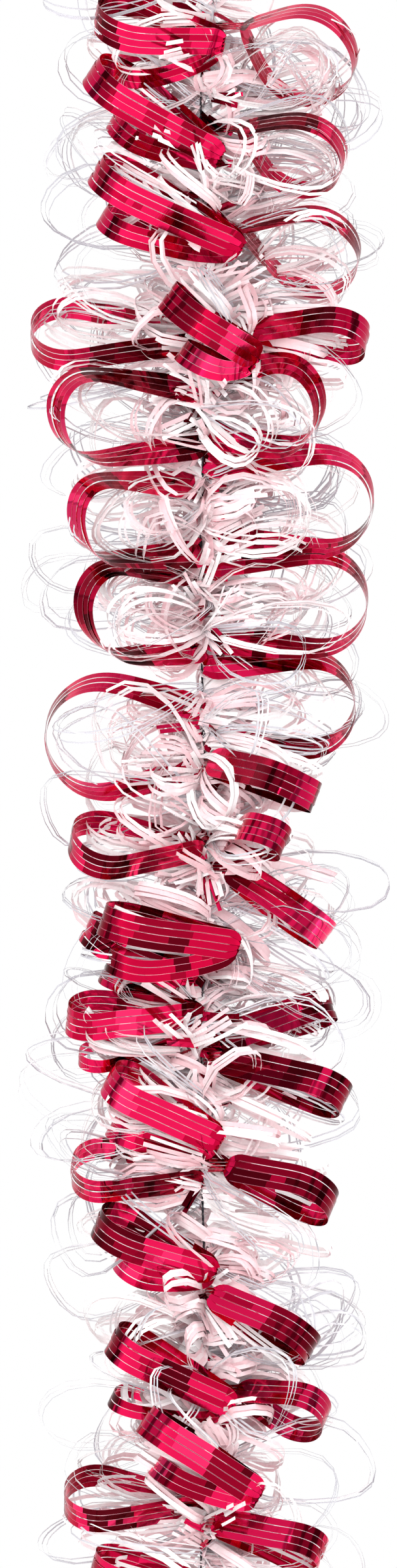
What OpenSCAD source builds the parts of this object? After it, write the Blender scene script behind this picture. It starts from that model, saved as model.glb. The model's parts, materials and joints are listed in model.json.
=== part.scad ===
// Foil loop garland: a twisted-wire core, crimson film loops and white film tufts.
// Origin at the centre of the top hanging eye. The garland hangs along -Z, its front is -Y.

/* [Garland] */
// Distance between the centres of the two hanging eyes
garland_len = 662; // [560:2:800]
// Reach of the longest loops from the core
loop_reach = 62; // [50:1:76]

/* [Film] */
// Width of a red film band
band_w = 12; // [9:0.5:14.5]
// Thickness of the stand-in for the film
film_t = 0.4; // [0.3:0.05:0.6]
// Width of the gathered tail that ties a loop to the core
tail_w = 4; // [2:0.5:6]
// Width of a white tuft
tuft_w = 9; // [6:0.5:11]
// Space between a tuft and the loop round it
tuft_gap = 2; // [1.2:0.1:3]
// Shortest distance from the root of a loop to the tuft inside it
tuft_start = 6; // [4:0.5:10]

/* [Core] */
// Diameter over the two twisted wires
core_d = 1; // [0.7:0.1:2]
// Free space between two core sections where the garland bends
bend_gap = 0.4; // [0.3:0.05:0.8]

/* [Hanging eyes] */
// Clear width inside an eye
eye_bore = 9.4; // [8:0.2:14]
// Diameter over the wire wound round the foot of an eye
wrap_d = 2.8; // [2.6:0.1:5]
// Length of the wound foot
wrap_len = 8; // [6:0.5:12]
// Depth of the core inside the wound foot
wrap_hold = 6; // [3:0.5:6]

/* [Hidden] */
$fn = 48;
cut = 0.01;
// Straight steps in the round end of a loop
arc_steps = 22;

// Each row is one red loop, from the top of the garland to its bottom:
// place of its root down the core, to the right and to the front of the core,
// then its turn round the core, lift and roll, then reach, half opening and half gap at the root.
// The turn is 0 to the right, 180 to the left and 270 to the front.
LOOPS = [
    [ 30,  15,  6,  -2, -24, 30, 46, 19, 0],
    [ 36,   8,  7, 180,  12, 62, 50, 13, 0],
    [ 69,  14,  7,   0, -24, 36, 42, 16, 0],
    [ 80,   7,  6, 183,  33, 68, 60, 13, 0],
    [107,  14,  6,   2, -17, 34, 47, 17, 0],
    [115,  15, 13, 184,  30, 68, 64, 13, 0],
    [146,  20,  8, -15,  -4, 58, 44, 11, 0],
    [157,  21, 21, 210,  30, 70, 46, 10, 0],
    [150,   6,  3, 176,   2, 44, 72, 14, 0],
    [176,   0,  0, -30,   2,  6, 52, 16, 9],
    [180,   0,  0, 214,   1,  8, 66, 16, 10],
    [212,   0,  0,  -6,   0,  3, 65, 18, 14],
    [219,   0,  0, 216,   0,  6, 62, 15, 13],
    [250,   0,  0,  -4,   0,  2, 63, 18, 14],
    [254,   0,  0, 222,   0,  6, 60, 17, 14],
    [289,   0,  0,   2,   0,  4, 58, 17, 14],
    [302,   0,  0, 180,   0,  6, 60, 21, 10],
    [311,   2,  7, -38, -12, 70, 52, 11, 0],
    [341,   9, 12, -56,   2, 62, 34,  9, 0],
    [345,   0,  4, 194,   2, 50, 52, 13, 0],
    [352,  10,  4, -10, -36, 74, 46, 10, 0],
    [382,  14, 14, 198,  12, 75, 56, 10, 0],
    [395,  -8,  4, 176,  30, 70, 42, 11, 0],
    [408,   0,  2, 186,   0, 60, 52,  9, 0],
    [418,   6,  3,   8,  16, 74, 46,  9, 0],
    [425,   6, 11, -22, -18, 66, 54, 10, 0],
    [457,   7,  6, 182,  30, 70, 50, 11, 0],
    [466,   9, 12,  -6, -20, 66, 44, 12, 0],
    [471,   0,  2, 172,   6, 44, 51, 12, 0],
    [507,   5,  7, 184,  22, 66, 50, 12, 0],
    [515,   3, 11,  -8, -30, 70, 45, 11, 0],
    [552,  13,  5,  -4, -18, 52, 36, 11, 0],
    [558,  12, 11, 184,  28, 70, 54, 11, 0],
    [592,  22, 13, 204,  31, 72, 56, 10, 0],
    [596,   0,  2, 178,   2, 46, 53, 12, 0],
    [602,   4,  9,  -8, -18, 70, 44, 11, 0],
    [630,   6,  6, 186,  12, 62, 50, 11, 0],
];
base_len = 662;
base_reach = 62;
stretch = garland_len / base_len;
swell = loop_reach / base_reach;

function root(l) = [l[1], -l[2], -l[0] * stretch];
function angles(l) = [l[3], l[4], l[5]];
function reach(l) = l[6] * swell;
function half_open(l) = l[7] * min(stretch, swell);
function half_root(l) = l[8] * min(stretch, swell);
function centre_out(l) = reach(l) - half_open(l);
// Slope of a loop's straight sides, which meet its round end smoothly
function side_slope(l) = asin(half_open(l) / norm([centre_out(l), half_root(l)]))
    - atan2(half_root(l), centre_out(l));
// Outline round a loop at distance out from its middle line, cut off straight at start
function outline(l, out, start) = let(
        r = half_open(l) + out,
        slope = side_slope(l),
        turn = 90 + slope,
        meet = slope > 0.5 ? centre_out(l) - r / sin(slope) : start,
        from = max(start, meet),
        height = max(0, r / cos(slope) - (centre_out(l) - from) * tan(slope)),
        root_points = height > cut ? [[from, -height], [from, height]] : [[from, 0]])
    concat(root_points, [for (i = [0:arc_steps]) let(t = turn - 2 * turn * i / arc_steps)
        [centre_out(l) + r * cos(t), r * sin(t)]]);

// Places of the bends along the core
BENDS = [for (d = [129, 193.5, 328, 442, 536]) d * stretch];
core_top = (eye_bore + core_d) / 2 + wrap_len - wrap_hold;
core_foot = garland_len - core_top;
CORE_ENDS = concat([core_top - bend_gap / 2], BENDS, [core_foot + bend_gap / 2]);
eye_r = (eye_bore + core_d) / 2;

// First and last loop that each white tuft stands inside
TUFTS = [[0, 1], [2, 3], [4, 5], [6, 8], [9, 10], [11, 12], [13, 14], [15, 17],
    [18, 20], [21, 23], [24, 25], [26, 28], [29, 30], [31, 32], [33, 36]];
// Each white tuft also has one bundle behind the core, to one side and the other in turn
back_root = 7;
back_turn = 20;
back_roll = 55;
back_reach = 40;
back_open = 12;
function mean_down(t) = (LOOPS[t[0]][0] + LOOPS[t[1]][0]) / 2;
function back_bundle(t) = [mean_down(t), 0, -back_root, 90 + back_turn * (t[0] % 2 == 0 ? 1 : -1),
    0, back_roll, back_reach, back_open, 0];

function two_digits(n) = str(n < 10 ? "0" : "", n);
LOOP_NODES = [for (i = [1:len(LOOPS)]) str("red_loop_", two_digits(i))];
TUFT_NODES = [for (i = [1:len(TUFTS)]) str("white_tuft_", two_digits(i))];
CORE_NODES = [for (i = [1:len(BENDS) + 1]) str("core_", i)];

module on_core(l) {
    translate(root(l)) rotate([0, 0, angles(l)[0]]) rotate([0, -angles(l)[1], 0])
        rotate([angles(l)[2] + 90, 0, 0]) children();
}

module loop_band(l) {
    translate([0, 0, -band_w / 2]) linear_extrude(band_w) difference() {
        polygon(outline(l, film_t / 2, 0));
        polygon(outline(l, -film_t / 2, -1));
    }
}

// Gathered film from the core's axis to the root of a loop, as one flat strip
module loop_tail(l) {
    way = [root(l)[0], root(l)[1], 0];
    if (norm(way) > 0)
        translate([0, 0, root(l)[2]]) rotate([0, 0, atan2(way[1], way[0])])
            translate([0, -film_t / 2, -tail_w / 2]) cube([norm(way) + film_t / 2, film_t, tail_w]);
}

module red_loop(l) {
    color("crimson") difference() {
        union() {
            on_core(l) loop_band(l);
            loop_tail(l);
        }
        translate([0, 0, -garland_len]) cylinder(d = core_d, h = garland_len);
    }
}

// Filled outline inside one loop
module tuft_bundle(l) {
    on_core(l) translate([0, 0, -tuft_w / 2]) linear_extrude(tuft_w)
        polygon(outline(l, -tuft_gap, tuft_start));
}

module white_tuft(t) {
    color("mistyrose") {
        for (i = [t[0]:t[1]]) tuft_bundle(LOOPS[i]);
        tuft_bundle(back_bundle(t));
    }
}

module core_section(i) {
    top = CORE_ENDS[i] + bend_gap / 2;
    foot = CORE_ENDS[i + 1] - bend_gap / 2;
    color("dimgray") translate([0, 0, -foot]) cylinder(d = core_d, h = foot - top);
}

// Round eye with the wire's end wound round its foot
module eye() {
    wrap_top = eye_r;
    color("dimgray") {
        difference() {
            union() {
                rotate([90, 0, 0]) rotate_extrude() translate([eye_r, 0]) circle(d = core_d);
                translate([0, 0, -wrap_top - wrap_len]) cylinder(d = wrap_d, h = wrap_len);
            }
            translate([0, 0, -wrap_top - wrap_len - cut])
                cylinder(d = core_d, h = wrap_hold + cut);
        }
    }
}

module top_eye() { eye(); }
module bottom_eye() { translate([0, 0, -garland_len]) mirror([0, 0, 1]) eye(); }

top_eye();
bottom_eye();
for (i = [0:len(CORE_NODES) - 1])
    core_section(i);
for (i = [0:len(LOOP_NODES) - 1])
    red_loop(LOOPS[i]);
for (i = [0:len(TUFT_NODES) - 1])
    white_tuft(TUFTS[i]);
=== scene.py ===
"""Foil loop garland: crimson film loops and white pearl film tufts on a core of two twisted wires."""
import json
import math

import bpy
import numpy as np
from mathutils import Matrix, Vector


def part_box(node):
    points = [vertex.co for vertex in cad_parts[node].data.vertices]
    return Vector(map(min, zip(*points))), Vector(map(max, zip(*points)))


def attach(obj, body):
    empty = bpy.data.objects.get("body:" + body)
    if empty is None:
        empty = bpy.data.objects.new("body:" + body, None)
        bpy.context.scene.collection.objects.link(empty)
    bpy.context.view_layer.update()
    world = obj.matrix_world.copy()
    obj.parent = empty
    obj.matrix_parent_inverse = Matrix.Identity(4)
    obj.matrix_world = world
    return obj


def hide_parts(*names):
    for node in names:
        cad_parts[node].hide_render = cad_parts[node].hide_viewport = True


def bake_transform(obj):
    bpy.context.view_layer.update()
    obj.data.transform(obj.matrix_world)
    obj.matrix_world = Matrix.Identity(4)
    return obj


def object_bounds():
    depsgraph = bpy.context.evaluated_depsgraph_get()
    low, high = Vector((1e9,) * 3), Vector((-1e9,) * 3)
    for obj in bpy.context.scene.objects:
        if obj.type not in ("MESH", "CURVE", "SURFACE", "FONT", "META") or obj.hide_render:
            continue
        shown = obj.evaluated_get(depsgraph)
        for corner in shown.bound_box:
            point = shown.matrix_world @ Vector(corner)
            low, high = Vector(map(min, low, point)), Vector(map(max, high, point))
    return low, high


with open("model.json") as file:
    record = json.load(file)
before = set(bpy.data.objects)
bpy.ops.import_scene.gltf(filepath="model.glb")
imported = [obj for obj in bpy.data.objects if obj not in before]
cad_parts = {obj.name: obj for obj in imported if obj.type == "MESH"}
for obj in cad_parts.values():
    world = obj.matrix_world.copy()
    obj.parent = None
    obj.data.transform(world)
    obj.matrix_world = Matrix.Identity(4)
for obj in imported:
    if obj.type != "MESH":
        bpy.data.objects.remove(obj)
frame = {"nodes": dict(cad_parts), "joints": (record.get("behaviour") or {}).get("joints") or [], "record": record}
CAD_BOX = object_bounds()

MM = 0.001
BODIES = frame["record"]["behaviour"]["bodies"]
JOINTS = frame["joints"]
EYE_DISTANCE = -next(m["pos_m"][2] for m in frame["record"]["mounts"] if m["name"] == "bottom_eye")

# ---------------------------------------------------------------- sizes, in metres
STRIPS = 4  # a red band is slit into this many strips
SLIT = 0.16 * MM  # mean free width between two strips
FILM_THICK = 0.06 * MM
RED_STEPS = 72  # steps along a red strip
CLEAR_OF_CORE = 3 * MM  # a root further out than this has a tail, and a wider gap is an open root
TAIL_STEPS = 5  # steps along the tail that leads a band to the core
TAIL_GATHER = 0.8  # its width, as a part of the band's gathered end
RED_ENDS = 8  # short cut ends of red film where a loop is held
FACES_FRONT = 0.75  # a loop faces the front when its up direction points this far along Y
SECOND_SIZE = (0.78, 0.95)  # size of the second band behind a left loop that faces the front
SECOND_SHIFT = np.array([(-4, 11, -18), (4, 16, -11)]) * MM  # limits of its place against the first
WHITE_THICK = 0.05 * MM
WIRE_RADIUS = 0.25 * MM
TWIST_PITCH = 6 * MM  # one full turn of the two core wires
SIDE_LIMITS = (62 * MM, 75 * MM)  # how far to the side a loose strip runs free, and its limit
DEPTH_LIMITS = (32 * MM, 51 * MM)  # the same to the front and the back
START_SCATTER = np.array([2.0, 1.5, 7.0]) * MM  # how far apart the roots of one bundle's strips are
CUT_SCATTER = np.array([1.5, 1.0, 8.0]) * MM  # the same for short cut ends
CUT_SPACING = 1.8 * MM  # between the cut ends of one family
FAN_REACH = 62 * MM  # of the curls that stand out behind the core
MAP_UNIT = 100 * MM  # one unit of the film map, and the step from one loop's pattern to the next
STRIP_STEP = 20 * MM  # from one strip's pattern to the next
LAYER_STEP = 37 * MM  # from one layer's pattern to the next
EYE_TWISTS = 5  # turns of the two wires round an eye
EYE_STEPS = 145  # points round an eye
WRAP_STEPS = 14  # points in one turn of the wire wound round its foot
WRAP_PITCH = 2.2 * WIRE_RADIUS  # between two turns there
VIEW_HEIGHT = 0.600  # length of garland that the camera takes in
VIEW_TOP = 20 * MM  # distance from the top eye's centre down to the top of the view
VIEW_LEFT = 1.75 * MM  # the camera stands this far to the left of the core


# ---------------------------------------------------------------- meshes
def strip_mesh(paths, sides, widths, thick):
    """Corners, faces, lengths and places across of closed thin strips.

    Each of m strips follows its own path of n points. Its section at a point is a rectangle, widths wide
    along the side direction and thick along the normal, which is the path's direction crossed with the
    side. Four faces join each two sections, and one face closes each end.
    """
    paths = np.asarray(paths, float)
    m, n, _ = paths.shape
    along = np.gradient(paths, axis=1)
    along /= np.linalg.norm(along, axis=2, keepdims=True) + 1e-12
    sides = sides - along * np.sum(sides * along, axis=2, keepdims=True)
    sides /= np.linalg.norm(sides, axis=2, keepdims=True) + 1e-12
    normals = np.cross(along, sides)
    half_w = np.broadcast_to(np.asarray(widths, float), (m, n))[..., None] / 2
    half_t = thick / 2
    corners = np.stack(
        [
            paths + sides * half_w + normals * half_t,
            paths - sides * half_w + normals * half_t,
            paths - sides * half_w - normals * half_t,
            paths + sides * half_w - normals * half_t,
        ],
        axis=2,
    )
    index = np.arange(m * n * 4).reshape(m, n, 4)
    after = np.roll(index, -1, axis=2)
    walls = np.stack([index[:, :-1], after[:, :-1], after[:, 1:], index[:, 1:]], axis=3)
    caps = np.stack([index[:, 0, ::-1], index[:, -1]], axis=1)
    faces = np.concatenate([walls.reshape(-1, 4), caps.reshape(-1, 4)])
    step = np.linalg.norm(np.diff(paths, axis=1), axis=2)
    length = np.concatenate([np.zeros((m, 1)), np.cumsum(step, axis=1)], axis=1)
    across = np.array([0.5, -0.5, -0.5, 0.5])
    places = np.empty((m, n, 4, 2))
    places[..., 0] = length[..., None]
    places[..., 1] = across * 2 * half_w
    return corners.reshape(-1, 3), faces, places.reshape(-1, 2), length


def tube_mesh(path, radius, sides=8):
    """Corners and faces of a closed round tube: a circle of the radius is carried along the path on
    two directions that stay square to it, and a ring of faces joins each two circles."""
    path = np.asarray(path, float)
    n = len(path)
    along = np.gradient(path, axis=0)
    along /= np.linalg.norm(along, axis=1, keepdims=True)
    first = np.cross(along, np.broadcast_to([0.31, 0.87, 0.38], along.shape))
    first /= np.linalg.norm(first, axis=1, keepdims=True)
    second = np.cross(along, first)
    turn = np.linspace(0, 2 * np.pi, sides, endpoint=False)
    ring = np.cos(turn)[:, None, None] * first + np.sin(turn)[:, None, None] * second
    corners = (path + radius * ring).transpose(1, 0, 2).reshape(-1, 3)
    index = np.arange(n * sides).reshape(n, sides)
    after = np.roll(index, -1, axis=1)
    walls = np.stack([index[:-1], after[:-1], after[1:], index[1:]], axis=2).reshape(-1, 4)
    return corners, [*walls.tolist(), index[0, ::-1].tolist(), index[-1].tolist()]


def joined(parts):
    """One set of corners and faces from several."""
    corners, faces, start = [], [], 0
    for points, polygons in parts:
        corners.append(points)
        faces += [[start + i for i in polygon] for polygon in polygons]
        start += len(points)
    return np.concatenate(corners), faces


def make_piece(name, corners, faces, material, places=None, tones=None):
    """A mesh object at the origin, with a film map of places and a tone for each corner if given."""
    mesh = bpy.data.meshes.new(name)
    mesh.from_pydata(corners.tolist(), [], [list(map(int, f)) for f in faces])
    mesh.materials.append(material)
    loops = np.empty(len(mesh.loops), np.int32)
    mesh.loops.foreach_get("vertex_index", loops)
    if places is not None:
        film = mesh.uv_layers.new(name="film")
        film.data.foreach_set("uv", (places[loops] / MAP_UNIT).astype(np.float32).ravel())
    if tones is not None:
        tone = mesh.attributes.new("tone", "FLOAT", "POINT")
        tone.data.foreach_set("value", tones.astype(np.float32))
    mesh.update()
    piece = bpy.data.objects.new(name, mesh)
    bpy.context.scene.collection.objects.link(piece)
    return piece


# ---------------------------------------------------------------- where the CAD loops are
def triangles(node):
    """The corners of a CAD node's triangles."""
    mesh = frame["nodes"][node].data
    mesh.calc_loop_triangles()
    points = np.empty(len(mesh.vertices) * 3)
    mesh.vertices.foreach_get("co", points)
    corners = np.empty(len(mesh.loop_triangles) * 3, np.int32)
    mesh.loop_triangles.foreach_get("vertices", corners)
    return points.reshape(-1, 3)[corners].reshape(-1, 3, 3)


def loop_frame(tris, filled=False):
    """Root, axes and sizes of a flat loop, or of a filled bundle.

    The direction across a band is the one that the least area faces, and across a bundle the most. The
    faces that look that way are its two edges, and their outline is symmetric about the way it points.
    """
    cross = np.cross(tris[:, 1] - tris[:, 0], tris[:, 2] - tris[:, 0])
    area = np.linalg.norm(cross, axis=1)
    normal = cross / (area[:, None] + 1e-18)
    spread = (normal * area[:, None]).T @ normal
    across = np.linalg.eigh(spread)[1][:, -1 if filled else 0]
    edge = np.abs(normal @ across) > 0.97
    near = normal[edge] * np.sign(normal[edge] @ across)[:, None] * area[edge][:, None]
    across = near.sum(0) / np.linalg.norm(near.sum(0))
    edge = np.abs(normal @ across) > 0.999
    points = tris[edge].reshape(-1, 3)
    level = points @ across
    middle = (level.max() + level.min()) / 2
    weight = np.repeat(area[edge], 3)[:, None]
    centre = (points * weight).sum(0) / weight.sum()
    flat = points - centre
    flat -= np.outer(flat @ across, across)
    out = np.linalg.eigh((flat * weight).T @ flat)[1][:, -1]
    ends = flat @ out
    if np.hypot(*(centre + out * ends.min())[:2]) > np.hypot(*(centre + out * ends.max())[:2]):
        out, ends = -out, -ends
    up = np.cross(across, out)
    if up[2] < 0:
        across, up = -across, -up
        middle = -middle
    heights = flat @ up
    root = centre + out * ends.min()
    root += across * (middle - root @ across)
    near_root = np.abs(heights[ends < ends.min() + 1.2 * MM])
    return {
        "root": root,
        "out": out,
        "up": up,
        "across": across,
        "axes": np.stack([out, up, across]),
        "reach": float(np.ptp(ends)),
        "open": float(np.ptp(heights) / 2),
        "root_gap": float(near_root.max()),
        "width": float(level.max() - level.min()),
    }


def islands(tris):
    """The separate solids in a node's triangles, found by the corners that they share."""
    keys = np.round(tris.reshape(-1, 3) / (0.002 * MM)).astype(np.int64)
    _, label = np.unique(keys, axis=0, return_inverse=True)
    label = label.reshape(-1, 3)
    group = np.arange(label.max() + 1)
    while True:
        low = group[label].min(1)
        before = group.copy()
        np.minimum.at(group, label.ravel(), np.repeat(low, 3))
        group = group[group]
        if (group == before).all():
            break
    owner = group[label[:, 0]]
    return [tris[owner == g] for g in np.unique(owner)]


def place(spot, flat):
    """Points of a loop's own plane, as out, up and across, in the row's frame."""
    return spot["root"] + flat @ spot["axes"]


# ---------------------------------------------------------------- red loops
def loop_line(spot, steps):
    """The middle line of a loop in its own plane: its direction turns not at all along the sides and
    evenly round the end, with a soft change between them, and the sum of its steps is the line."""
    half = spot["open"]
    gap = spot["root_gap"] if spot["root_gap"] > CLEAR_OF_CORE else 0.0
    centre = spot["reach"] - half
    slope = math.asin(min(0.98, half / math.hypot(centre, gap))) - math.atan2(gap, centre)
    side = math.sqrt(max(centre**2 + gap**2 - half**2, (2 * MM) ** 2))
    total = 2 * side + half * (math.pi + 2 * slope)
    fine = np.linspace(0, total, 800)
    soft = 0.35 * min(side, half)
    bend = (np.tanh((fine - side) / soft) - np.tanh((fine - total + side) / soft)) / 2
    angle = slope - (math.pi + 2 * slope) * np.cumsum(bend) / bend.sum()
    step = fine[1] - fine[0]
    line = np.stack([np.cumsum(np.cos(angle)), np.cumsum(np.sin(angle))], axis=1) * step
    line -= line[0]
    line -= np.linspace(0, 1, len(line))[:, None] * (line[-1] - [0, -2 * gap])
    line[:, 1] += gap
    line *= [spot["reach"] / line[:, 0].max(), half / np.abs(line[:, 1]).max()]
    pick = np.linspace(0, len(line) - 1, steps).round().astype(int)
    return line[pick]


def red_band(rng, spot, line, one, strips, shift):
    """Paths and side directions of the strips of one band, which lie next to each other.

    Each strip follows the loop's middle line, moved across by its place in the band and along the
    normal by slow waves and creases. A band that would stand edge-on to the front leans forwards
    instead, most near the core and least at its round end, so that its faces show. The whole band is
    moved by the shift times a power of a half sine, which is nothing where it is held.
    """
    steps = len(line)
    share = np.linspace(0, 1, steps)
    gather = 0.5 + 0.5 * np.clip(np.minimum(share, 1 - share) / 0.035, 0, 1) ** 0.7
    bell = np.sin(np.pi * share) ** 2
    edge_on = np.clip((0.3 - abs(spot["across"][2])) / 0.15, 0, 1)
    tilt = edge_on * np.sign(spot["across"][1]) * (1.2 - 0.8 * bell)
    lean = rng.uniform(-0.08, 0.08)
    waist = rng.uniform(-1, 1, 3) * [1.0, 0.7, 0.5] * MM
    phase = rng.uniform(0, 2 * np.pi, 3)
    sway = sum(waist[k] * np.sin(2 * np.pi * (k + 1) * share + phase[k]) for k in range(3)) * bell
    normal = np.gradient(line, axis=0)[:, ::-1] * [-1, 1]
    normal /= np.linalg.norm(normal, axis=1, keepdims=True)
    moved = np.asarray(shift) * (bell**0.3)[:, None]
    paths, sides = [], []
    for k in range(strips):
        offset = (k - (strips - 1) / 2) * (one + SLIT)
        loose = rng.uniform(0.05, 0.25) * MM
        wave = loose * np.sin(2 * np.pi * rng.uniform(1.0, 2.5) * share + rng.uniform(0, 6.28))
        flat = np.zeros((steps, 3))
        flat[:, :2] = line * (1 + rng.uniform(-0.006, 0.006))
        crease = np.zeros(steps)
        for _ in range(3):
            at, reach = rng.uniform(0.1, 0.9), rng.uniform(0.03, 0.08)
            crease += rng.uniform(-0.3, 0.3) * MM * np.maximum(0, 1 - np.abs(share - at) / reach)
        flat[:, :2] += normal * ((wave + crease) * bell)[:, None]
        flat[:, 1] += offset * gather * np.sin(tilt)
        flat[:, 2] = offset * gather * np.cos(tilt) + sway + lean * line[:, 0] * 0.5
        paths.append(place(spot, flat) + moved)
        turn = 0.06 * np.sin(2 * np.pi * share * rng.uniform(0.6, 1.4) + 1.3 * k)
        side = np.zeros((steps, 3))
        side[:, :2] = normal * turn[:, None]
        side[:, 1] += np.sin(tilt)
        side[:, 2] = np.cos(tilt)
        sides.append(side @ spot["axes"])
    return with_tails(np.array(paths), np.array(sides), one * gather * np.ones((strips, 1)))


def with_tails(paths, sides, widths):
    """The same strips. Where they start clear of the core, straight tails gathered to a part of their
    width lead them to it at both ends."""
    if np.hypot(*paths[0, 0, :2]) < CLEAR_OF_CORE:
        return paths, sides, widths
    along = np.linspace(0.05, 0.9, TAIL_STEPS)[None, :, None]
    for end, order in ((0, 1), (-1, -1)):
        first = paths[:, [end]]
        core = first * [0, 0, 1]
        tail = core + (first - core) * along[:, ::order]
        side = np.repeat(sides[:, [end]], TAIL_STEPS, axis=1)
        width = np.repeat(widths[:, [end]], TAIL_STEPS, axis=1) * TAIL_GATHER
        paths = np.concatenate([tail, paths][::order], axis=1)
        sides = np.concatenate([side, sides][::order], axis=1)
        widths = np.concatenate([width, widths][::order], axis=1)
    return paths, sides, widths


def red_loop(node, seed):
    """The film of one loop: its band, slit into strips and gathered where it goes into the core, and
    short cut ends there. A left loop that faces the front has a second, narrower band behind it."""
    rng = np.random.default_rng(seed)
    spot = loop_frame(triangles(node))
    line = loop_line(spot, RED_STEPS)
    one = (spot["width"] - (STRIPS - 1) * SLIT) / STRIPS
    layers = [red_band(rng, spot, line, one, STRIPS, (0, 0, 0))]
    if abs(spot["up"][1]) > FACES_FRONT and spot["out"][0] < 0:
        size, shift = rng.uniform(*SECOND_SIZE), rng.uniform(*SECOND_SHIFT)
        layers.append(red_band(rng, spot, line * size, one, rng.integers(2, 4), shift))
    ends, end_sides = cut_ends(rng, spot, RED_ENDS, 2, 4, (6, 14))
    layers.append((ends, end_sides, rng.uniform(1.3, 2.4, (RED_ENDS, 1)) * MM))
    corners, faces, places, starts, area, lengths = [], [], [], 0, 0.0, []
    for layer, (paths, sides, widths) in enumerate(layers):
        c, f, p, length = strip_mesh(kept_in(paths), sides, widths, FILM_THICK)
        p[:, 0] += layer * LAYER_STEP
        p[:, 1] += np.repeat(np.arange(len(paths)) % STRIPS, len(c) // len(paths)) * STRIP_STEP
        corners.append(c)
        faces.append(f + starts)
        places.append(p + [0, seed * MAP_UNIT])
        starts += len(c)
        area += float((length[:, -1] * widths.mean(axis=1)).sum())
        lengths.append(float(length[:, -1].mean()))
    piece = make_piece(node + "_film", np.concatenate(corners), np.concatenate(faces), RED_FILM,
                       np.concatenate(places))
    smooth(piece)
    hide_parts(node)
    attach(piece, body_of(node))


def smooth(piece):
    """Smooth shading, but faces that meet at a strip's edge keep their own."""
    piece.data.polygons.foreach_set("use_smooth", np.ones(len(piece.data.polygons), bool))
    piece.data.set_sharp_from_angle(angle=math.radians(50))


def body_of(node):
    """The section of the garland that a node moves with."""
    return next(body for body, nodes in BODIES.items() if node in nodes)


# ---------------------------------------------------------------- white tufts
def curls(rng, spot, families, members, steps, reach, opening, spread, roll, yaw, pinch=(0.2, 0.9)):
    """Families of loose round loops that leave the core near one root and come back to it.

    Along each, out is half the reach times one less a cosine, up is the opening times a sine, pinched at
    the root by a power of a half sine, and both carry a small second wave. A family stands a random way
    off to the side by up to spread, and is turned by its own roll, yaw and lift. Its members were cut
    from one sheet, so they run side by side. A family whose opening faces the front lies further back,
    behind the red band's front leg, and one that would stand edge-on to the front leans to show a face.
    Near its ends a loop is drawn in to the core.
    """
    count = families * members

    def draw(low, high):
        return np.repeat(rng.uniform(low, high, (families, 1)), members, axis=0)

    def scatter(spread_of_families, spread_of_members):
        own = rng.normal(0, 1, (count, 1)) * spread_of_members
        return np.repeat(rng.normal(0, 1, (families, 1)), members, axis=0) * spread_of_families + own

    axes = np.repeat(np.broadcast_to(spot["axes"], (families, 3, 3)), members, axis=0)
    face_on = np.clip((np.abs(axes[:, 1, 1]) - 0.5) / 0.3, 0, 1)[:, None]
    edge_on = np.clip((0.45 - np.abs(axes[:, 2, 2])) / 0.2, 0, 1)[:, None]
    even = np.linspace(-1, 1, steps)
    share = 0.5 + 0.48 * np.sign(even) * np.abs(even) ** 1.3
    bell = np.sin(np.pi * share)
    far = np.repeat(np.broadcast_to(spot["reach"], (families, 1)), members, axis=0)
    far = far * (draw(*reach) + rng.normal(0, 0.02, (count, 1)))
    wide = (draw(*opening) + rng.normal(0, 0.5, (count, 1))) * MM
    hump = np.sin(2 * np.pi * share) * bell ** draw(*pinch)
    hump /= np.abs(hump).max(axis=1, keepdims=True)
    out = far * (1 - np.cos(2 * np.pi * share)) / 2
    out = out + 0.05 * far * np.sin(4 * np.pi * share + draw(0, 2 * np.pi)) * bell
    up = wide * (hump + 0.08 * np.sin(6 * np.pi * share + draw(0, 2 * np.pi)) * bell)
    up = up + np.sign(axes[:, 1, 1])[:, None] * face_on * 6 * MM * bell**0.5
    swing = draw(-1, 1) * spread * (1 + 0.4 * face_on) * bell**0.5
    swing = swing + draw(-0.3, 0.3) * spread * np.sin(2 * np.pi * share)
    turn = scatter(roll, 0.04) * (1 - 0.6 * face_on)
    a, b = up * np.cos(turn) - swing * np.sin(turn), up * np.sin(turn) + swing * np.cos(turn)
    aside = scatter(yaw, 0.02)
    lift = scatter(yaw, 0.02) * (1 - 0.5 * face_on)
    out, b = out * np.cos(aside) - b * np.sin(aside), out * np.sin(aside) + b * np.cos(aside)
    out, a = out * np.cos(lift) - a * np.sin(lift), out * np.sin(lift) + a * np.cos(lift)
    tilt = edge_on * np.sign(axes[:, 2, 1])[:, None] * (draw(0.5, 1.2) - 0.3 * bell)
    tilt = tilt + scatter(0.25, 0.08) * bell
    side = np.zeros((count, steps, 3))
    side[..., 0] = scatter(0.2, 0.05) * bell
    side[..., 1] = np.sin(tilt) - np.sin(turn) * np.cos(tilt)
    side[..., 2] = np.cos(turn) * np.cos(tilt)
    side /= np.linalg.norm(side, axis=2, keepdims=True)
    rank = np.tile(np.arange(members) - (members - 1) / 2, families)[:, None]
    apart = rank * draw(1.5, 2.1) * MM * (0.35 + 0.65 * bell**0.5)
    start = np.repeat(np.broadcast_to(spot["root"], (families, 3)), members, axis=0).copy()
    start += np.repeat(rng.normal(0, 1, (families, 3)), members, axis=0) * START_SCATTER
    start[:, 1] += 5 * MM * face_on[:, 0]
    flat = np.stack([out, a, b], axis=2) + side * apart[..., None]
    paths = start[:, None] + flat @ axes
    paths[..., :2] -= 0.85 * start[:, None, :2] * ((1 - bell) ** 1.5)[:, None]
    return paths, side @ axes


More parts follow.
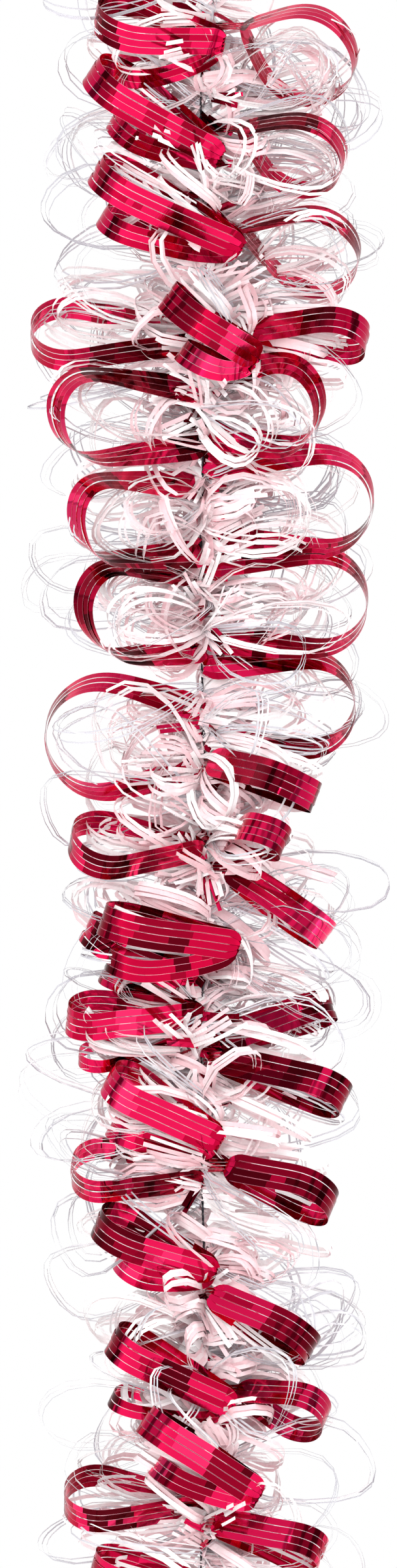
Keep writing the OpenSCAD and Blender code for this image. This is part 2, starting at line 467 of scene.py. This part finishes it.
def fan(rng, low, high, count):
    """Roots all along a stretch of the core, each with its own axes: out points to the right or the
    left, a little to the back and up or down, and up is square to it and leans at random."""
    z = rng.uniform(low, high, count)
    turn = rng.normal(0.2, 0.5, count)
    rise = rng.normal(0, 0.28, count)
    right = np.where(rng.uniform(0, 1, count) < 0.5, 1, -1)
    out = np.stack([right * np.cos(turn) * np.cos(rise), np.sin(turn) * np.cos(rise), np.sin(rise)], 1)
    up = np.array([0, 0, 1]) + rng.normal(0, 1, (count, 3)) * [0.2, 0.45, 0]
    across = np.cross(out, up)
    across /= np.linalg.norm(across, axis=1, keepdims=True)
    up = np.cross(across, out)
    reach = FAN_REACH * (1 - 0.65 * np.maximum(0, -out[:, 1:2]) - 0.35 * np.maximum(0, out[:, 1:2]))
    root = np.stack([0 * z, 0 * z + 1 * MM, z], axis=1)
    return {"root": root, "axes": np.stack([out, up, across], axis=1), "reach": reach}


def cut_ends(rng, spot, count, members, steps, reach):
    """Short free ends near the core, in families that lie side by side: straight pieces that lean every
    way but mostly level, each a little bent by a push that grows with the square of the way along it."""
    families = count // members
    share = np.linspace(0, 1, steps)
    scatter = np.clip(rng.normal(0, 1, (families, 3)), -1.6, 1.6)
    start = spot["root"] * [0.1, 0.1, 1] + scatter * CUT_SCATTER
    way = rng.normal(0, 1, (families, 3)) * [1, 0.4, 0.35] + spot["out"] * 0.9
    start, way = np.repeat(start, members, axis=0), np.repeat(way, members, axis=0)
    way /= np.linalg.norm(way, axis=1, keepdims=True)
    way = way + rng.normal(0, 0.07, (count, 3))
    side = np.repeat(rng.normal(0, 0.5, (families, 3)) + [0, 1, 0], members, axis=0)
    side = np.cross(way, side)
    side /= np.linalg.norm(side, axis=1, keepdims=True)
    start = start + side * np.tile(np.arange(members) - (members - 1) / 2, families)[:, None] * CUT_SPACING
    length = rng.uniform(*reach, (families, 1)).repeat(members, axis=0) + rng.normal(0, 1, (count, 1))
    path = start[:, None] + way[:, None] * (length * MM)[..., None] * share[None, :, None]
    bow = np.cross(way, side) * rng.normal(0, 1.5 * MM, (count, 1))
    path += bow[:, None] * (share**2)[None, :, None]
    return path, np.broadcast_to(side[:, None], path.shape).copy()


def pressed(distance, free, limit):
    """A distance from the core, kept as it is up to free and pressed in so that it never passes limit."""
    over = np.maximum(np.abs(distance) - free, 0)
    room = limit - free
    return np.sign(distance) * (np.minimum(np.abs(distance), free) + room * np.tanh(over / room))


def kept_in(paths):
    """The same paths, pressed in to the sides and in depth, so that no strip stands out too far."""
    paths = paths.copy()
    paths[..., 0] = pressed(paths[..., 0], *SIDE_LIMITS)
    paths[..., 1] = pressed(paths[..., 1], *DEPTH_LIMITS)
    return paths


def white_tuft(node, seed):
    """All the loose strips of one tuft, round each of its CAD bundles.

    The last bundle is the one behind the core. Each bundle has wide pink loops near the core, narrower
    bright loops that fill the red loop, hair-fine grey curls that stand past it, and cut ends. The one
    behind has three more groups in fans all along the tuft. Each group is followed by the limits of its
    strips' width in millimetres and of their tone, which goes from 0, pink, over white to 1, grey. The
    pink is partly a random tint and partly painted shade lit red by the crimson film; the grey is painted
    shade.
    """
    rng = np.random.default_rng(1000 + seed)
    corners, faces, places, tones, starts = [], [], [], [], 0
    sheet_area, sheet_length = 0.0, []
    for tris in islands(triangles(node)):
        spot = loop_frame(tris, filled=True)
        back = spot["out"][1] > 0.6
        spot["root"] = spot["root"] - spot["out"] * 7 * MM + [0, 2 * MM, 0]
        spot["reach"] += 2 * MM if back else 9 * MM
        high = (spot["open"] + 1.0 * MM) / MM
        tall = (0.5 * high, 0.95 * high)
        # Tones: low and pink for the groups near the core, partly a random tint and partly painted shade lit red
        # by the crimson film; high and grey for the hair-fine curls, painted shade.
        groups = [
            (curls(rng, spot, families=4, members=3, steps=15, reach=(0.3, 0.72), opening=tall,
                   spread=11 * MM, roll=0.3, yaw=0.2), (1.3, 2.0), (0.0, 0.42)),
            (curls(rng, spot, families=4, members=3, steps=17, reach=(0.6, 0.97), opening=tall,
                   spread=9 * MM, roll=0.12, yaw=0.09), (1.1, 1.8), (0.3, 0.75)),
            (curls(rng, spot, families=1, members=3, steps=17, reach=(0.85, 1.1), opening=(9, 15),
                   spread=13 * MM, roll=0.4, yaw=0.12, pinch=(0.8, 1.6)), (0.4, 0.8), (0.8, 1.2)),
            (cut_ends(rng, spot, count=24, members=4, steps=4, reach=(9, 26)), (1.2, 1.8), (0.0, 0.75)),
        ]
        if back:
            top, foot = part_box(node)[1][2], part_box(node)[0][2]
            wide_fan, fine_fan, short_fan = (fan(rng, foot, top, n) for n in (6, 9, 12))
            groups += [
                (curls(rng, wide_fan, families=6, members=3, steps=17, reach=(0.5, 0.95), opening=(9, 15),
                       spread=6 * MM, roll=0.3, yaw=0.1, pinch=(0.6, 1.4)), (1.1, 1.8), (0.35, 0.8)),
                (curls(rng, fine_fan, families=9, members=3, steps=19, reach=(0.95, 1.22), opening=(11, 18),
                       spread=6 * MM, roll=0.3, yaw=0.1, pinch=(0.9, 1.8)), (0.4, 0.9), (0.85, 1.2)),
                (curls(rng, short_fan, families=12, members=4, steps=11, reach=(0.25, 0.6), opening=(4, 9),
                       spread=9 * MM, roll=0.5, yaw=0.2), (1.4, 2.0), (0.0, 0.5)),
            ]
        for (paths, sides), wide, tone in groups:
            count = len(paths)
            widths = rng.uniform(*wide, (count, 1)) * MM
            c, f, p, length = strip_mesh(kept_in(paths), sides, widths, WHITE_THICK)
            corners.append(c)
            faces.append(f + starts)
            places.append(p)
            tones.append(np.repeat(rng.uniform(*tone, count), len(c) // count))
            starts += len(c)
            sheet_area += float((length[:, -1] * widths[:, 0]).sum())
            sheet_length.append(float(length[:, -1].mean()))
    corners, faces = np.concatenate(corners), np.concatenate(faces)
    piece = make_piece(node + "_strips", corners, faces, WHITE_FILM, np.concatenate(places),
                       np.concatenate(tones))
    smooth(piece)
    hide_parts(node)
    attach(piece, body_of(node))


# ---------------------------------------------------------------- core and eyes
def core_line(z):
    """The core's own path: nearly straight, with a slow sway to each side."""
    end = np.clip(np.minimum(-z, z + EYE_DISTANCE) / (40 * MM), 0, 1)
    x = 0.9 * MM * np.sin(z / (31 * MM)) * end
    y = 0.7 * MM * np.cos(z / (23 * MM)) * end
    return np.stack([x, y, z], axis=1)


def twisted_wires(top, foot):
    """Two wires wound round each other: each keeps its radius from the core's path, half a turn apart."""
    z = np.linspace(top, foot, max(12, int((top - foot) / (TWIST_PITCH / 12))))
    turn = 2 * np.pi * z / TWIST_PITCH
    parts = []
    for phase in (0, np.pi):
        path = core_line(z)
        path[:, 0] += WIRE_RADIUS * np.cos(turn + phase)
        path[:, 1] += WIRE_RADIUS * np.sin(turn + phase)
        parts.append(tube_mesh(path, WIRE_RADIUS))
    return joined(parts)


def core_pieces():
    """The core in one length for each bend, cut halfway between bends."""
    bends = [j["pos_m"][2] for j in JOINTS]
    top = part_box("core_1")[1][2]
    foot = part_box(f"core_{len(bends) + 1}")[0][2]
    cuts = [top, *[(a + b) / 2 for a, b in zip(bends, bends[1:])], foot]
    for k, joint in enumerate(JOINTS):
        corners, faces = twisted_wires(cuts[k], cuts[k + 1])
        piece = make_piece(f"core_wires_{k + 1}", corners, faces, CORE_WIRE)
        smooth(piece)
        nodes = [f"core_{k + 1}"] + ([f"core_{k + 2}"] if k + 1 == len(JOINTS) else [])
        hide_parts(*nodes)
        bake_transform(piece)


def eye_piece(node):
    """An eye of two twisted wires and the wire wound round its foot."""
    low, high = (np.array(c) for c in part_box(node))
    ring = (high[0] - low[0]) / 2 - 2 * WIRE_RADIUS
    up = 1 if node == "top_eye" else -1
    centre_z = (high[2] if up > 0 else low[2]) - up * (high[0] - low[0]) / 2
    turn = np.linspace(0, 2 * np.pi, EYE_STEPS)
    parts = []
    for phase in (0, np.pi):
        wind = EYE_TWISTS * turn + phase
        r = ring + WIRE_RADIUS * np.cos(wind)
        path = np.stack([r * np.sin(turn), WIRE_RADIUS * np.sin(wind), centre_z - up * r * np.cos(turn)], 1)
        parts.append(tube_mesh(path, WIRE_RADIUS))
    foot = low[2] if up > 0 else high[2]
    neck = centre_z - up * ring
    turns = int(abs(foot - neck) / WRAP_PITCH)
    share = np.linspace(0, 1, turns * WRAP_STEPS)
    wind = 2 * np.pi * turns * share
    radius = high[1] - WIRE_RADIUS
    z = neck + (foot + up * WIRE_RADIUS - neck) * share
    path = np.stack([radius * np.cos(wind), radius * np.sin(wind), z], 1)
    parts.append(tube_mesh(path, WIRE_RADIUS))
    corners, faces = joined(parts)
    piece = make_piece(node + "_wire", corners, faces, CORE_WIRE)
    smooth(piece)
    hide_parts(node)
    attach(piece, body_of(node))


# ---------------------------------------------------------------- materials
def linear(hex_colour):
    """An sRGB hex value as linear red, green, blue and alpha."""
    parts = [int(hex_colour[i : i + 2], 16) / 255 for i in (1, 3, 5)]
    return (*[c / 12.92 if c <= 0.04045 else ((c + 0.055) / 1.055) ** 2.4 for c in parts], 1.0)


def add(tree, kind, links=None, stops=None, **settings):
    """A node with its settings, its inputs linked or set by name, and the stops of its ramp."""
    node = tree.nodes.new(kind)
    for key, value in settings.items():
        setattr(node, key, value)
    for key, value in (links or {}).items():
        socket = node.inputs[key]
        if isinstance(value, bpy.types.NodeSocket):
            tree.links.new(value, socket)
        else:
            socket.default_value = value
    for number, (at, colour) in enumerate(stops or []):
        if number >= 2:
            node.color_ramp.elements.new(at)
        element = node.color_ramp.elements[number]
        element.position = at
        element.color = colour if isinstance(colour, tuple) else (colour, colour, colour, 1)
    return node


def new_material(name):
    material = bpy.data.materials.new(name)
    material.use_nodes = True
    return material, material.node_tree, material.node_tree.nodes["Principled BSDF"]


def red_film_material():
    # Metallised PET film, dyed crimson and slit: a coloured mirror. Its base colour holds painted
    # reflections: hard-edged blocks from near-black maroon to bright crimson, 6 to 16 mm long, which differ
    # a little from strip to strip. A pale painted highlight runs along the cut edges of each strip.
    material, tree, shader = new_material("crimson_metallised_film")
    film = add(tree, "ShaderNodeUVMap", uv_map="film").outputs["UV"]
    part = add(tree, "ShaderNodeSeparateXYZ", {"Vector": film})
    along, across = part.outputs["X"], part.outputs["Y"]
    math_node = "ShaderNodeMath"
    scaled = add(tree, math_node, {0: across, 1: MAP_UNIT / STRIP_STEP, 2: 0.5},
                 operation="MULTIPLY_ADD").outputs[0]
    strip = add(tree, math_node, {0: scaled}, operation="FLOOR").outputs[0]
    band = add(tree, math_node, {0: across, 1: 0.1}, operation="ADD").outputs[0]
    band = add(tree, math_node, {0: band}, operation="FLOOR").outputs[0]
    own = add(tree, "ShaderNodeTexWhiteNoise", {"W": strip}, noise_dimensions="1D").outputs["Value"]
    # Painted reflection blocks: the place along the band is cut into stretches whose ends drift a little with a
    # slow noise and from strip to strip.
    place_in_band = add(tree, "ShaderNodeCombineXYZ", {"X": along, "Y": band}).outputs["Vector"]
    drift = add(tree, "ShaderNodeTexNoise", {"Vector": place_in_band, "Scale": 4.0}).outputs["Fac"]
    moved = add(tree, math_node, {0: drift, 1: 6.0, 2: 0.0}, operation="MULTIPLY_ADD").outputs[0]
    moved = add(tree, math_node, {0: own, 1: 0.28, 2: moved}, operation="MULTIPLY_ADD").outputs[0]
    moved = add(tree, math_node, {0: along, 1: 9.0, 2: moved}, operation="MULTIPLY_ADD").outputs[0]
    reflection_block = add(tree, math_node, {0: moved}, operation="FLOOR").outputs[0]
    shared_key = add(tree, "ShaderNodeCombineXYZ", {"X": reflection_block, "Y": band}).outputs["Vector"]
    own_key = add(tree, "ShaderNodeCombineXYZ", {"X": reflection_block, "Y": strip, "Z": 3.0}).outputs["Vector"]
    shared = add(tree, "ShaderNodeTexWhiteNoise", {"Vector": shared_key}).outputs["Value"]
    single = add(tree, "ShaderNodeTexWhiteNoise", {"Vector": own_key}).outputs["Value"]
    tone = add(tree, math_node, {0: shared, 1: 0.82, 2: 0.0}, operation="MULTIPLY_ADD").outputs[0]
    tone = add(tree, math_node, {0: single, 1: 0.18, 2: tone}, operation="MULTIPLY_ADD").outputs[0]
    # The painted reflection tones, in hard steps from near-black maroon to bright crimson.
    colour = add(tree, "ShaderNodeValToRGB", {"Fac": tone}, [
        (0.0, linear("#560412")), (0.13, linear("#8C0624")), (0.3, linear("#B40834")),
        (0.45, linear("#DA164E")), (0.85, linear("#EA2C64"))])
    colour.color_ramp.interpolation = "CONSTANT"
    # A painted highlight: a pale line along both edges of each strip, where the place across it nears the edge.
    inside = add(tree, math_node, {0: scaled}, operation="FRACT").outputs[0]
    inside = add(tree, math_node, {0: inside, 1: 0.5}, operation="SUBTRACT").outputs[0]
    inside = add(tree, math_node, {0: inside}, operation="ABSOLUTE").outputs[0]
    edge = add(tree, math_node, {0: inside, 1: 0.069}, operation="GREATER_THAN").outputs[0]
    edge_highlighted = add(tree, "ShaderNodeMix", {"Factor": edge, "A": colour.outputs["Color"],
                                        "B": linear("#EFA3B6")}, data_type="RGBA")
    fine = add(tree, "ShaderNodeMapping", {"Vector": film, "Scale": (40.0, 12.0, 1.0)})
    crinkle = add(tree, "ShaderNodeTexNoise", {"Vector": fine.outputs["Vector"], "Scale": 1.0,
                                               "Detail": 2.0})
    bump = add(tree, "ShaderNodeBump", {"Height": crinkle.outputs["Fac"], "Strength": 0.12,
                                        "Distance": 0.4 * MM})
    rough = add(tree, "ShaderNodeMapRange", {"Value": crinkle.outputs["Fac"], "To Min": 0.06,
                                             "To Max": 0.16})
    tree.links.new(edge_highlighted.outputs["Result"], shader.inputs["Base Color"])
    tree.links.new(bump.outputs["Normal"], shader.inputs["Normal"])
    tree.links.new(rough.outputs["Result"], shader.inputs["Roughness"])
    shader.inputs["Metallic"].default_value = 1.0
    return material


def white_film_material():
    # Pearl PET film: milky and glossy. Its base colour goes by each strip's tone from pink over white to
    # grey: the pink is partly a random tint and partly painted shade lit red by the crimson film, and the
    # grey is painted shade on the clear hair-fine strips.
    material, tree, shader = new_material("white_pearl_film")
    tone = add(tree, "ShaderNodeAttribute", attribute_name="tone").outputs["Fac"]
    film = add(tree, "ShaderNodeUVMap", uv_map="film").outputs["UV"]
    slow = add(tree, "ShaderNodeMapping", {"Vector": film, "Scale": (14.0, 6.0, 1.0)})
    patch = add(tree, "ShaderNodeTexNoise", {"Vector": slow.outputs["Vector"], "Scale": 1.0})
    moved = add(tree, "ShaderNodeMath", {0: patch.outputs["Fac"], 1: 0.5, 2: -0.25},
                operation="MULTIPLY_ADD").outputs[0]
    moved = add(tree, "ShaderNodeMath", {0: moved, 1: tone}, operation="ADD").outputs[0]
    # Painted shade in the ramp: pink at low tone, lit red by the crimson film near the core, and grey at high
    # tone.
    colour = add(tree, "ShaderNodeValToRGB", {"Fac": moved}, [
        (0.0, linear("#F3C8CE")), (0.2, linear("#F8DADE")), (0.42, linear("#FCECEE")),
        (0.55, linear("#FFFBFB")), (0.8, linear("#FBF8F9")), (1.0, linear("#C6C4CB"))])
    fine = add(tree, "ShaderNodeMapping", {"Vector": film, "Scale": (30.0, 10.0, 1.0)})
    crinkle = add(tree, "ShaderNodeTexNoise", {"Vector": fine.outputs["Vector"], "Scale": 1.0})
    rough = add(tree, "ShaderNodeMapRange", {"Value": crinkle.outputs["Fac"], "To Min": 0.18,
                                             "To Max": 0.38})
    tree.links.new(colour.outputs["Color"], shader.inputs["Base Color"])
    tree.links.new(rough.outputs["Result"], shader.inputs["Roughness"])
    shader.inputs["Coat Weight"].default_value = 0.3
    shader.inputs["Coat Roughness"].default_value = 0.1
    return material


def core_wire_material():
    # Dark annealed steel wire: nearly black scale with paler drawn streaks along it.
    material, tree, shader = new_material("dark_annealed_wire")
    spot = add(tree, "ShaderNodeTexCoord").outputs["Object"]
    noise = add(tree, "ShaderNodeTexNoise", {"Vector": spot, "Scale": 900.0, "Detail": 3.0})
    colour = add(tree, "ShaderNodeValToRGB", {"Fac": noise.outputs["Fac"]},
                 [(0.35, linear("#26262A")), (0.7, linear("#5A5A60"))]).outputs["Color"]
    tree.links.new(colour, shader.inputs["Base Color"])
    shader.inputs["Metallic"].default_value = 1.0
    rough = add(tree, "ShaderNodeMapRange", {"Value": noise.outputs["Fac"], "To Min": 0.3, "To Max": 0.5})
    tree.links.new(rough.outputs["Result"], shader.inputs["Roughness"])
    return material


def stage_material():
    # Matte studio paper, very nearly white.
    material, tree, shader = new_material("pale_matte_floor")
    spot = add(tree, "ShaderNodeTexCoord").outputs["Object"]
    noise = add(tree, "ShaderNodeTexNoise", {"Vector": spot, "Scale": 6.0})
    colour = add(tree, "ShaderNodeValToRGB", {"Fac": noise.outputs["Fac"]},
                 [(0.3, linear("#FAFAFA")), (0.7, linear("#FDFDFD"))]).outputs["Color"]
    tree.links.new(colour, shader.inputs["Base Color"])
    shader.inputs["Roughness"].default_value = 0.8
    return material


# ---------------------------------------------------------------- stage
def make_camera():
    """Looks straight at the garland from the front with no perspective."""
    data = bpy.data.cameras.new("camera")
    data.type = "ORTHO"
    data.ortho_scale = VIEW_HEIGHT
    camera = bpy.data.objects.new("camera", data)
    camera.location = (-VIEW_LEFT, -1.5, -VIEW_TOP - VIEW_HEIGHT / 2)
    camera.rotation_euler = (math.pi / 2, 0, 0)
    bpy.context.scene.collection.objects.link(camera)
    bpy.context.scene.camera = camera


def make_world():
    """White for the camera. What the film mirrors is a studio of bright panels and dark gaps,
    set by the compass angle and the height of the direction looked in."""
    world = bpy.data.worlds.new("studio")
    world.use_nodes = True
    tree = world.node_tree
    background = tree.nodes["Background"]
    way = add(tree, "ShaderNodeTexCoord").outputs["Generated"]
    parts = add(tree, "ShaderNodeSeparateXYZ", {"Vector": way})
    angle = add(tree, "ShaderNodeMath", {0: parts.outputs["X"], 1: parts.outputs["Y"]},
                operation="ARCTAN2")
    turn = add(tree, "ShaderNodeMapRange", {"Value": angle.outputs[0], "From Min": -math.pi,
                                            "From Max": math.pi})
    panels = add(tree, "ShaderNodeValToRGB", {"Fac": turn.outputs["Result"]}, [
        (0.00, 1.0), (0.05, 1.0), (0.055, 0.4), (0.085, 0.4), (0.09, 0.95), (0.17, 0.95),
        (0.175, 0.2), (0.235, 0.2), (0.24, 1.1), (0.76, 1.1), (0.765, 0.2), (0.83, 0.2),
        (0.835, 1.0), (0.90, 1.0), (0.905, 0.4), (0.94, 0.4), (0.945, 1.0), (1.0, 1.0)])
    tall = add(tree, "ShaderNodeValToRGB", {"Fac": parts.outputs["Z"]}, [
        (0.0, 0.7), (0.42, 0.7), (0.44, 0.45), (0.50, 0.45), (0.52, 1.0), (1.0, 1.0)])
    scaled = add(tree, "ShaderNodeMix", {"Factor": 1.0, "A": panels.outputs["Color"],
                                         "B": tall.outputs["Color"]}, data_type="RGBA",
                 blend_type="MULTIPLY")
    steep = add(tree, "ShaderNodeMath", {0: parts.outputs["Z"]}, operation="ABSOLUTE").outputs[0]
    steep = add(tree, "ShaderNodeMapRange", {"Value": steep, "From Min": 0.7, "From Max": 0.8})
    topped = add(tree, "ShaderNodeMix", {"Factor": steep.outputs["Result"],
                                         "A": scaled.outputs["Result"], "B": (0.85, 0.85, 0.85, 1)},
                 data_type="RGBA")
    ray = add(tree, "ShaderNodeLightPath").outputs["Is Camera Ray"]
    seen = add(tree, "ShaderNodeMix", {"Factor": ray, "A": topped.outputs["Result"],
                                       "B": (1, 1, 1, 1)}, data_type="RGBA")
    tree.links.new(seen.outputs["Result"], background.inputs["Color"])
    bpy.context.scene.world = world


def make_light(name, where, target, size, watts, mirrored=False):
    """A square area light that faces the target. Only a mirrored one shows in the film's reflections."""
    data = bpy.data.lights.new(name, "AREA")
    data.size = size
    data.energy = watts
    light = bpy.data.objects.new(name, data)
    light.location = where
    light.visible_glossy = mirrored
    way = np.array(target) - np.array(where)
    pitch = math.atan2(math.hypot(way[0], way[1]), -way[2])
    light.rotation_euler = (pitch, 0, math.atan2(-way[0], way[1]))
    bpy.context.scene.collection.objects.link(light)


def make_floor():
    """A wide floor a little below the bottom eye."""
    low = np.array(CAD_BOX[0])
    half = 12.0
    z = low[2] - 30 * MM
    corners = np.array([(-half, -half, z), (half, -half, z), (half, half, z), (-half, half, z)])
    floor = make_piece("floor", corners, [[0, 1, 2, 3]], stage_material())


def make_stage():
    make_camera()
    make_world()
    middle = (0, 0, -VIEW_TOP - VIEW_HEIGHT / 2)
    make_light("key", (-0.7, -1.3, 0.25), middle, 0.9, 16)
    make_light("fill", (1.0, -0.9, -0.35), middle, 0.8, 9.5)
    make_light("spark", (-0.35, -1.2, 0.2), middle, 0.05, 0.25, mirrored=True)
    make_light("rim", (0.2, 1.2, 0.1), middle, 0.9, 7)
    make_floor()
    bpy.context.scene.view_settings.view_transform = "Standard"


# ---------------------------------------------------------------- the garland
RED_FILM = red_film_material()
WHITE_FILM = white_film_material()
CORE_WIRE = core_wire_material()

make_stage()
for number, loop_node in enumerate(sorted(n for n in frame["nodes"] if n.startswith("red_loop"))):
    red_loop(loop_node, number)
for number, tuft_node in enumerate(sorted(n for n in frame["nodes"] if n.startswith("white_tuft"))):
    white_tuft(tuft_node, number)
core_pieces()
eye_piece("top_eye")
eye_piece("bottom_eye")
